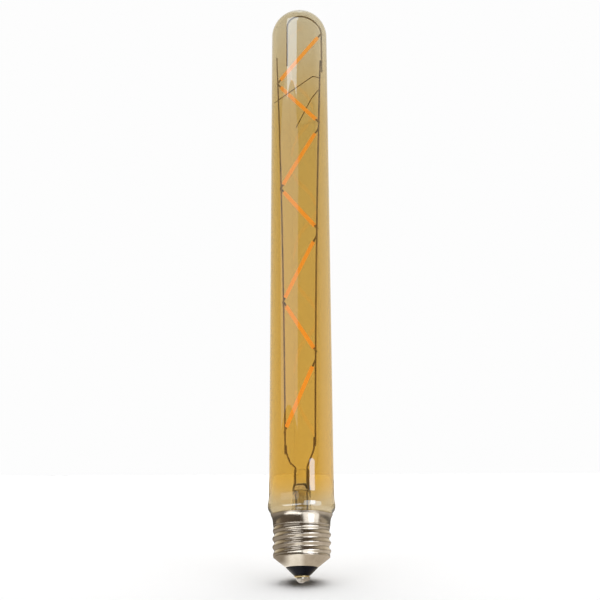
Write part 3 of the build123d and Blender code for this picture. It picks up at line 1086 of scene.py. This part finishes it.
    def dress(self) -> None:
        """Build every wire and give it its metal."""
        drawn, thin = DRAWN_WIRE.build(), ANCHOR_WIRE.build()
        for side, levels in ((Side.LEFT, self.left_levels), (Side.RIGHT, self.right_levels)):
            word = side.name.lower()
            long_path = self.wire_points(side, np.linspace(*levels, 24))
            long_rings = wire_rings(long_path, self.wire_r, self.long_across)
            long_wire = skin(f"long_wire_{word}", long_rings, Ends.CAPPED)
            finish_piece(long_wire, drawn, "frame_wire", f"support_wire_{word}")
            lead_rings = wire_rings(self.lead_path(side), self.wire_r, self.lead_across)
            lead_wire = skin(f"lead_wire_{word}", lead_rings, Ends.CAPPED)
            finish_piece(lead_wire, drawn, "frame_wire", f"lead_in_wire_{word}")
        path, across = self.hoop_path()
        hoop = skin("dome_spring", wire_rings(path, self.wire_r, across), Ends.CAPPED)
        finish_piece(hoop, drawn, "frame_wire", "dome_hoop")
        for word, plan in (("front", self.front_anchor), ("back", self.back_anchor)):
            rings = wire_rings(self.anchor_path(plan), self.anchor_r, self.anchor_across, around=14)
            anchor = skin(f"anchor_{word}", rings, Ends.CAPPED)
            finish_piece(anchor, thin, "anchor_wire", f"anchor_wire_{word}")


@dataclass
class Filaments:
    """The coated strips in a zigzag between the two long wires.

    Odd strips run down to the left wire in front of the frame, even ones to the right behind.
    """

    wires: WireFrame
    count: int = 7
    length: float = 36.3
    weld_step: float = 5.0
    terminal: float = 2.65
    width: float = 2.0
    thickness: float = 1.5
    tab_thickness: float = 0.2
    squareness: float = 2.6
    nose: float = 0.5
    nose_deg: Tuple[float, float, float] = (80.0, 55.0, 25.0)
    nose_pinch: float = 0.33
    drop_guess: float = 0.8
    drop_rounds: int = 6
    slices: int = 22
    around: int = 24

    def next_weld(self, start: np.ndarray, side: Side) -> np.ndarray:
        """The point of a wire that lies one filament length below a weld.

        The drop is drawn closer step by step, as the root of length^2 less the run across^2.

        Args:
            start: The upper weld.
            side: The wire of the lower weld.

        Returns:
            The lower weld.
        """
        drop = self.length * self.drop_guess
        for _ in range(self.drop_rounds):
            end = self.wires.wire_point(side, start[2] - drop)
            drop = math.sqrt(self.length**2 - float(np.sum((end[:2] - start[:2]) ** 2)))
        return self.wires.wire_point(side, start[2] - drop)

    def strip(self, name: str, upper: np.ndarray, lower: np.ndarray, facing: int) -> bpy.types.Object:
        """One coated strip: a rounded slab carried along a line, with soft rounded ends.

        Its section is the superellipse |x/a|^n + |y/b|^n = 1.

        Args:
            name: The piece's name.
            upper: Its upper weld.
            lower: Its lower weld.
            facing: -1 in front of the wires, 1 behind them.

        Returns:
            The strip.
        """
        along = (lower - upper) / np.linalg.norm(lower - upper)
        outward = np.cross([0.0, 0.0, 1.0], along)
        outward /= np.linalg.norm(outward)
        outward *= 1.0 if outward[1] * facing > 0 else -1.0
        wide = np.cross(along, outward)
        lift = outward * (self.wires.wire_r + self.wires.weld_gap + self.tab_thickness / 2)
        start, end = upper + lift + along * self.terminal, lower + lift - along * self.terminal
        over = np.radians(self.nose_deg)
        run = float(np.linalg.norm(end - start))
        tip = self.nose * (1 - np.sin(over))
        place = np.concatenate([tip, np.linspace(self.nose, run - self.nose, self.slices), run - tip[::-1]])
        pinch = 1 - self.nose_pinch * (1 - np.cos(over))
        swell = np.concatenate([pinch, np.ones(self.slices), pinch[::-1]])
        turn = np.linspace(0, 2 * np.pi, self.around, endpoint=False)
        a, b, n = self.thickness / 2, self.width / 2, self.squareness
        radius = (np.abs(np.cos(turn) / a) ** n + np.abs(np.sin(turn) / b) ** n) ** (-1 / n)
        section = (radius * np.cos(turn))[:, None] * outward + (radius * np.sin(turn))[:, None] * wide
        rings = (start + place[:, None] * along)[:, None] + swell[:, None, None] * section[None]
        return skin(name, rings, Ends.CAPPED)

    def dress(self) -> None:
        """Build every strip from the top down, and give the tabs their metal."""
        coat, plate = PHOSPHOR_SILICONE.build(), PLATED_STRIP.build()
        weld = self.wires.hoop_point(self.wires.top_weld)
        for number in range(1, self.count + 1):
            odd = number % 2 == 1
            lower = self.next_weld(weld, Side.LEFT if odd else Side.RIGHT)
            piece = self.strip(f"strip_{number}", weld, lower, -1 if odd else 1)
            finish_piece(piece, coat, "phosphor_coat", f"filament_{number}")
            dress_node(f"filament_{number}_terminals", plate)
            weld = lower if odd else self.wires.wire_point(Side.RIGHT, lower[2] - self.weld_step)


@dataclass
class ScrewCap:
    """The rolled shell, its insulator and the centre contact.

    The thread is a circle of the mean radius, set off from the axis by the swing. The pulls
    are the lengths of the handles of the shell's and the insulator's curves.
    """

    sheet: float = 0.3
    foot_r: float = 7.2
    foot_level: float = 6.6
    cone_level: float = 10.9
    mean_r: float = 12.675
    swing: float = 0.425
    pitch: float = 3.629
    thread_turn: float = 99.0
    thread_top: float = 24.2
    fade: float = 2.7
    collar_r: float = 12.9
    collar_level: float = 24.9
    skirt_level: float = 27.4
    skirt_r: float = 14.0
    skirt_top: float = 29.8
    insulator_level: float = 3.15
    insulator_r: float = 3.75
    plug_r: float = 6.4
    plug_level: float = 8.3
    plate_r: float = 3.4
    plate_level: float = 2.25
    eyelet_r: float = 1.2
    eyelet_wall: float = 0.5
    eyelet_height: float = 1.9
    collar_pull: float = 0.35
    skirt_pull: float = 0.4
    flare_pull: Tuple[float, float] = (0.5, 1.1)
    rim_roll: float = 0.15
    insulator_edge: float = 0.2
    insulator_pulls: Tuple[Tuple[float, float], Tuple[float, float]] = ((0.3, 0.4), (0.9, 1.05))
    foot_edge: Tuple[float, float] = (0.1, 0.12)
    plate_edge: float = 0.4
    seat_gap: float = 0.02
    solder_eye: Triple = (0.7, 0.0, 1.9)
    solder_drops: Tuple[Tuple[Triple, float], ...] = (((-0.25, 0.0, 2.25), 2.35), ((2.0, 0.0, 2.45), 1.7))
    solder_sharpness: float = 14.0
    around: int = 160

    def centres(self, level: np.ndarray) -> np.ndarray:
        """Centre of the thread's level circle at each height.

        A level cut through a knuckle thread is a circle set off from the axis. Its centre goes
        once round the axis for each pitch, and its distance fades to nothing at both ends.

        Args:
            level: Heights in millimetres.

        Returns:
            x and y of the centre at each height.
        """
        rise = np.clip((level - self.cone_level) / self.fade, 0, 1)
        fall = np.clip((self.thread_top - level) / self.fade, 0, 1)
        off = self.swing * np.minimum(rise, fall)
        turn = 2 * np.pi * (level - self.cone_level) / self.pitch + math.radians(self.thread_turn)
        return np.stack([off * np.cos(turn), off * np.sin(turn)], -1)

    def build_shell(self) -> bpy.types.Object:
        """Make the sheet: up its outside, over the turned rim and down its inside.

        Returns:
            The threaded shell.
        """
        cone = evened(np.array([[self.foot_r, self.foot_level], [self.mean_r, self.cone_level]]), step=0.6)
        level = np.linspace(self.cone_level, self.thread_top, 96)
        thread = np.stack([np.full_like(level, self.mean_r), level], -1)
        collar = bezier([
            (self.mean_r, self.thread_top), (self.mean_r, self.thread_top + self.collar_pull),
            (self.collar_r, self.collar_level - self.collar_pull), (self.collar_r, self.collar_level),
        ], samples=8)
        inwards, down = self.flare_pull
        skirt = bezier([
            (self.collar_r, self.collar_level), (self.collar_r, self.skirt_level + self.skirt_pull),
            (self.skirt_r - inwards, self.skirt_top - down), (self.skirt_r, self.skirt_top - self.rim_roll),
        ], samples=14)
        outside = np.vstack([cone[:-1], thread, collar[1:], skirt[1:]])
        inside = outside - np.array([self.sheet, 0.0])
        profile = np.vstack([outside, inside[::-1]])
        rings = circles(profile, self.around, self.centres(profile[:, 1]))
        return skin("screw_shell", rings, Ends.LOOPED)

    def build_insulator(self) -> bpy.types.Object:
        """Make the black cone with softened edges, its plug and its hole.

        Returns:
            The insulator.
        """
        hole, seat = self.eyelet_r + self.seat_gap, self.foot_level - self.seat_gap / 2
        low, edge = self.insulator_level, self.insulator_edge
        (low_out, low_up), (top_in, top_down) = self.insulator_pulls
        foot_in, foot_down = self.foot_edge
        cone = bezier([
            (self.insulator_r - edge / 2, low + self.seat_gap), (self.insulator_r + low_out, low + low_up),
            (self.foot_r - top_in, self.foot_level - top_down),
            (self.foot_r - foot_in, self.foot_level - foot_down),
        ], samples=16)
        profile = np.vstack([
            [[hole, low + self.seat_gap], [self.insulator_r - edge, low]], cone,
            [[self.foot_r - 1.5 * foot_in, seat], [self.plug_r, seat]],
            [[self.plug_r, self.plug_level], [hole, self.plug_level]],
        ])
        return skin("black_insulator", circles(profile, around=96), Ends.LOOPED)

    def build_plate(self) -> bpy.types.Object:
        """Make the contact plate with its rolled edge and its eyelet.

        Returns:
            The plate.
        """
        bore, edge = self.eyelet_r - self.eyelet_wall, self.plate_edge
        low, top = self.plate_level + self.seat_gap / 2, self.insulator_level - self.seat_gap / 2
        eyelet_top = top + self.eyelet_height
        rolled = arc((self.plate_r - edge, low + edge), edge, start=-90.0, end=0.0, samples=7)
        eyelet = [[self.eyelet_r, top], [self.eyelet_r, eyelet_top], [bore, eyelet_top]]
        profile = np.vstack([[[bore, low]], rolled, [[self.plate_r, top]], eyelet])
        return skin("contact_eyelet", circles(profile, around=72), Ends.LOOPED)

    def build_solder(self) -> bpy.types.Object:
        """Make the solder: two drops run together, seen from a point inside both.

        Along each direction from that point, the surface lies at the smooth larger of the two
        distances d to the drops' spheres, log(sum of exp(k d)) / k. Then it is cut flat at the
        tip and at the plate.

        Returns:
            The solder.
        """
        eye = np.array(self.solder_eye)
        tilt, turn = np.meshgrid(
            np.radians(np.linspace(1, 179, 48)), np.linspace(0, 2 * np.pi, 72, endpoint=False), indexing="ij"
        )
        aim = np.stack([np.sin(tilt) * np.cos(turn), np.sin(tilt) * np.sin(turn), -np.cos(tilt)], -1)
        total = np.zeros_like(tilt)
        for centre, radius in self.solder_drops:
            off = eye - np.array(centre)
            along = aim @ off
            distance = -along + np.sqrt(np.maximum(along**2 - off @ off + radius**2, 0.0))
            total += np.exp(self.solder_sharpness * distance)
        reach = np.log(total) / self.solder_sharpness
        points = eye + aim * reach[..., None]
        points[..., 2] = np.clip(points[..., 2], 0.0, self.plate_level)
        return skin("contact_drop", points, Ends.CAPPED)

    def dress(self) -> None:
        """Build the pieces of the cap and give each its finish."""
        finish_piece(self.build_shell(), NICKEL_SHEET.build(), "cap_metal", "cap_shell")
        finish_piece(self.build_insulator(), BLACK_GLASS.build(), "insulator_glass", "cap_insulator")
        finish_piece(self.build_plate(), STAMPED_BRASS.build(), "contact_brass", "contact_plate")
        finish_piece(self.build_solder(), TIN_SOLDER.build(), "solder", "contact_solder")
        dress_node("basing_cement", BAKED_CEMENT.build())


@dataclass
class Driver:
    """The board in the cap and what is soldered to it, kept as the frame has them."""

    plan: Tuple[Tuple[Union[Metal, Moulded], Tuple[str, ...]], ...] = (
        (BOARD_LAMINATE, ("driver_board",)),
        (MOULDED_RESIN, ("bridge_rectifier", "driver_chip", "sense_resistors")),
        (DRAWN_CAN, ("smoothing_capacitor",)),
        (LACQUERED_CERAMIC, ("fusible_resistor",)),
        (TINNED_COPPER, ("live_wire", "neutral_wire")),
    )

    def dress(self) -> None:
        """Give every hidden piece its finish."""
        for finish, names in self.plan:
            material = finish.build()
            for name in names:
                dress_node(name, material)


@dataclass(frozen=True)
class Softbox:
    """A soft lamp, placed by its direction from the camera's side, in degrees and millimetres.

    The overhead one lights the floor and what is dull. The others are seen in metal and glass.
    """

    name: str
    azimuth: float
    elevation: float
    away: float
    size: Tuple[float, float]
    radiance: float
    aim_level: float = 20.0
    colour: str = "ffffff"
    overhead: bool = False


@dataclass
class Studio:
    """A white studio: backdrop, floor under the tip, soft lamps and the camera."""

    softboxes: Tuple[Softbox, ...] = (
        Softbox("overhead_softbox", 0.0, 90.0, 2200.0, (3200.0, 3200.0), 2.78, overhead=True),
        Softbox("right_softbox", 39.0, -14.0, 700.0, (860.0, 700.0), 1.3),
        Softbox("window_softbox", 38.0, -5.0, 700.0, (230.0, 490.0), 2.0, colour="e8efff"),
        Softbox("low_left_softbox", -38.0, -32.0, 700.0, (900.0, 210.0), 2.0, 15.0),
        Softbox("left_softbox", -45.0, 28.0, 800.0, (1000.0, 420.0), 0.32, 100.0),
        Softbox("high_softbox", -32.0, 50.0, 1200.0, (700.0, 560.0), 1.3, 150.0),
    )
    room: Tuple[Tuple[float, str], ...] = (
        (-180.0, "ffffff"), (-168.0, "ffffff"), (-158.0, "e9dfcb"), (-120.0, "b7a88c"), (-88.0, "6b5f52"),
        (-8.0, "4e4338"), (60.0, "5c5042"), (90.0, "b0a493"), (158.0, "eadfca"), (168.0, "ffffff"),
    )
    # Painted reflection: the tones that metal and glass mirror in the floor across x, a bright band between
    # darker sides, in place of the lit paper and its shadow
    painted_reflection_card: Tuple[Tuple[float, str], ...] = (
        (-60.0, "a0968a"), (-15.0, "958b7f"), (-10.0, "fffaf2"), (-2.0, "fffaf2"), (3.0, "b9ae9f"),
        (60.0, "d2c9bd"),
    )
    painted_reflection_half_mm: float = 60.0
    painted_reflection_fade_mm: Tuple[float, float] = (30.0, 150.0)
    painted_reflection_levels: Tuple[float, float] = (1.2, 0.3)
    paper: str = "fdfdfd"
    ambient: float = 0.02
    focal_px: float = 1005.0
    image_px: float = 600.0
    sensor_mm: float = 36.0
    camera_away_mm: float = 457.3
    camera_height_mm: float = -42.2
    camera_aside_mm: float = -0.28
    pitch_deg: float = 21.0
    roll_deg: float = 0.27
    clip_m: Tuple[float, float] = (0.01, 10.0)
    floor_tilt_deg: float = 17.6
    floor_half_mm: float = 420.0
    floor_front_mm: float = 40.0
    floor_gap_mm: float = 0.3

    def camera(self) -> None:
        """Place the camera below the tip, looking up along the lamp."""
        data = bpy.data.cameras.new("studio_camera")
        data.sensor_width = self.sensor_mm
        data.lens = self.focal_px / self.image_px * self.sensor_mm
        data.clip_start, data.clip_end = self.clip_m
        camera = bpy.data.objects.new("studio_camera", data)
        bpy.context.scene.collection.objects.link(camera)
        turn = Matrix.Rotation(math.radians(90 + self.pitch_deg), 4, "X") @ Matrix.Rotation(
            math.radians(-self.roll_deg), 4, "Z"
        )
        place = Matrix.Translation(
            Vector((self.camera_aside_mm, -self.camera_away_mm, self.camera_height_mm)) * MM
        )
        camera.matrix_world = place @ turn
        bpy.context.scene.camera = camera

    def world(self) -> None:
        """Make the white backdrop, and the room that metal and glass mirror.

        Seen directly or through glass, the backdrop is all round. In a mirroring surface it is
        white behind the lamp and turns to the tones of the room on the camera's side, by the
        angle atan2(x, -y), which is 0 towards the camera.
        """
        world = bpy.data.worlds.new("studio")
        bpy.context.scene.world = world
        world.use_nodes = True
        tree = world.node_tree
        tree.nodes.clear()
        output = tree.nodes.new("ShaderNodeOutputWorld")
        place = add_node(tree, "ShaderNodeTexCoord")
        parts = add_node(tree, "ShaderNodeSeparateXYZ", Vector=place.outputs["Generated"])
        nearer = add_node(tree, "ShaderNodeMath", {"operation": "MULTIPLY"}, i0=parts.outputs["Y"], i1=-1.0)
        turn = add_node(
            tree, "ShaderNodeMath", {"operation": "ARCTAN2"}, i0=parts.outputs["X"], i1=nearer.outputs[0]
        )
        share = add_node(
            tree, "ShaderNodeMapRange", i0=turn.outputs[0], From_Min=-math.pi, From_Max=math.pi
        )
        ramp = add_node(tree, "ShaderNodeValToRGB", Fac=share.outputs[0])
        set_ramp(ramp, [((turn_deg + 180) / 360, srgb(tone)) for turn_deg, tone in self.room])
        path = add_node(tree, "ShaderNodeLightPath")
        seen = add_node(
            tree, "ShaderNodeMath", {"operation": "MAXIMUM"},
            i0=path.outputs["Is Camera Ray"], i1=path.outputs["Is Transmission Ray"],
        )
        ambient = add_node(tree, "ShaderNodeBackground", Color=srgb("ffffff"), Strength=self.ambient)
        room = add_node(tree, "ShaderNodeBackground", Color=ramp.outputs["Color"], Strength=1.0)
        shown = add_node(tree, "ShaderNodeBackground", Color=srgb(self.paper), Strength=1.0)
        glossy = add_node(
            tree, "ShaderNodeMixShader",
            Fac=path.outputs["Is Glossy Ray"], i1=ambient.outputs[0], i2=room.outputs[0],
        )
        mixed = add_node(
            tree, "ShaderNodeMixShader", Fac=seen.outputs[0], i1=glossy.outputs[0], i2=shown.outputs[0]
        )
        tree.links.new(mixed.outputs[0], output.inputs[0])

    def lamp(self, soft: Softbox) -> None:
        """Hang one soft rectangular lamp.

        Args:
            soft: The lamp's plan.
        """
        data = bpy.data.lights.new(soft.name, "AREA")
        data.shape = "RECTANGLE"
        data.size, data.size_y = soft.size[0] * MM, soft.size[1] * MM
        data.energy = soft.radiance * math.pi * data.size * data.size_y
        data.color = srgb(soft.colour)[:3]
        hung = bpy.data.objects.new(soft.name, data)
        bpy.context.scene.collection.objects.link(hung)
        side, rise = math.radians(soft.azimuth), math.radians(soft.elevation)
        way = Vector((math.sin(side) * math.cos(rise), -math.cos(side) * math.cos(rise), math.sin(rise)))
        aim = Vector((0.0, 0.0, soft.aim_level * MM))
        turn = (-way).to_track_quat("-Z", "Y").to_matrix().to_4x4()
        hung.matrix_world = Matrix.Translation(aim + way * soft.away * MM) @ turn
        hung.visible_camera = False
        hung.visible_transmission = False
        hung.visible_glossy = not soft.overhead
        hung.visible_diffuse = soft.overhead

    def floor(self) -> None:
        """Lay a white sheet under the tip, tipped up towards the back because the camera is low."""
        name = "studio_floor"
        half, front, tilt = self.floor_half_mm, self.floor_front_mm, math.radians(self.floor_tilt_deg)
        across = np.array([-half, half, half, -half])
        deep = np.array([-front, -front, half, half])
        points = np.stack([across, deep * math.cos(tilt), deep * math.sin(tilt) - self.floor_gap_mm], -1)
        mesh = bpy.data.meshes.new(name)
        mesh.from_pydata((points * MM).tolist(), [], [(0, 1, 2, 3)])
        sheet = bpy.data.objects.new(name, mesh)
        bpy.context.scene.collection.objects.link(sheet)
        mesh.materials.append(self.floor_paper())

    def floor_paper(self) -> bpy.types.Material:
        """Make the sheet's white paper, which takes the shadow and is clear from below.

        Metal and glass mirror it as a card with a painted reflection in place of the lit paper and its
        shadow: its tone, a bright band between darker sides, goes by x across the sheet, and its level fades
        with the distance from the tip.

        Returns:
            The material.
        """
        material, tree, output = new_tree("white_paper_sweep")
        paper = add_node(tree, "ShaderNodeBsdfDiffuse", Color=srgb(self.paper))
        clear = add_node(tree, "ShaderNodeBsdfTransparent")
        place = add_node(tree, "ShaderNodeTexCoord")
        away = add_node(tree, "ShaderNodeVectorMath", {"operation": "LENGTH"}, i0=place.outputs["Object"])
        level = add_node(
            tree, "ShaderNodeMapRange", {"interpolation_type": "SMOOTHSTEP"}, i0=away.outputs["Value"],
            From_Min=self.painted_reflection_fade_mm[0] * MM, From_Max=self.painted_reflection_fade_mm[1] * MM,
            To_Min=self.painted_reflection_levels[0], To_Max=self.painted_reflection_levels[1],
        )
        parts = add_node(tree, "ShaderNodeSeparateXYZ", Vector=place.outputs["Object"])
        across = add_node(
            tree, "ShaderNodeMapRange", i0=parts.outputs["X"],
            From_Min=-self.painted_reflection_half_mm * MM, From_Max=self.painted_reflection_half_mm * MM,
        )
        ramp = add_node(tree, "ShaderNodeValToRGB", Fac=across.outputs[0])
        set_ramp(ramp, [(0.5 + at / self.painted_reflection_half_mm / 2, srgb(tone)) for at, tone in self.painted_reflection_card])
        # The painted reflection, an emission seen only in metal and glass
        painted_reflection_card = add_node(tree, "ShaderNodeEmission", Color=ramp.outputs["Color"], Strength=level.outputs[0])
        path = add_node(tree, "ShaderNodeLightPath")
        direct = add_node(
            tree, "ShaderNodeMath", {"operation": "LESS_THAN"}, i0=path.outputs["Diffuse Depth"], i1=0.5
        )
        mirrored = add_node(
            tree, "ShaderNodeMath", {"operation": "MULTIPLY"},
            i0=path.outputs["Is Reflection Ray"], i1=direct.outputs[0],
        )
        seen = add_node(
            tree, "ShaderNodeMixShader", Fac=mirrored.outputs[0], i1=paper.outputs[0], i2=painted_reflection_card.outputs[0]
        )
        side = add_node(tree, "ShaderNodeNewGeometry")
        mixed = add_node(
            tree, "ShaderNodeMixShader",
            Fac=side.outputs["Backfacing"], i1=seen.outputs[0], i2=clear.outputs[0],
        )
        tree.links.new(mixed.outputs[0], output.inputs[0])
        return material

    def build(self) -> None:
        """Set up the whole studio."""
        bpy.context.scene.view_settings.view_transform = "Standard"
        self.camera()
        self.world()
        self.floor()
        for soft in self.softboxes:
            self.lamp(soft)


def main() -> None:
    """Build the lamp and its studio, and report each piece."""
    logging.basicConfig(level=logging.INFO, format="%(name)s: %(message)s")
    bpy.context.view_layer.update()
    Studio().build()
    envelope = Envelope()
    stem = Stem()
    wires = WireFrame(envelope, stem)
    envelope.dress()
    stem.dress()
    wires.dress()
    Filaments(wires).dress()
    ScrewCap().dress()
    Driver().dress()


if __name__ == "__main__":
    main()
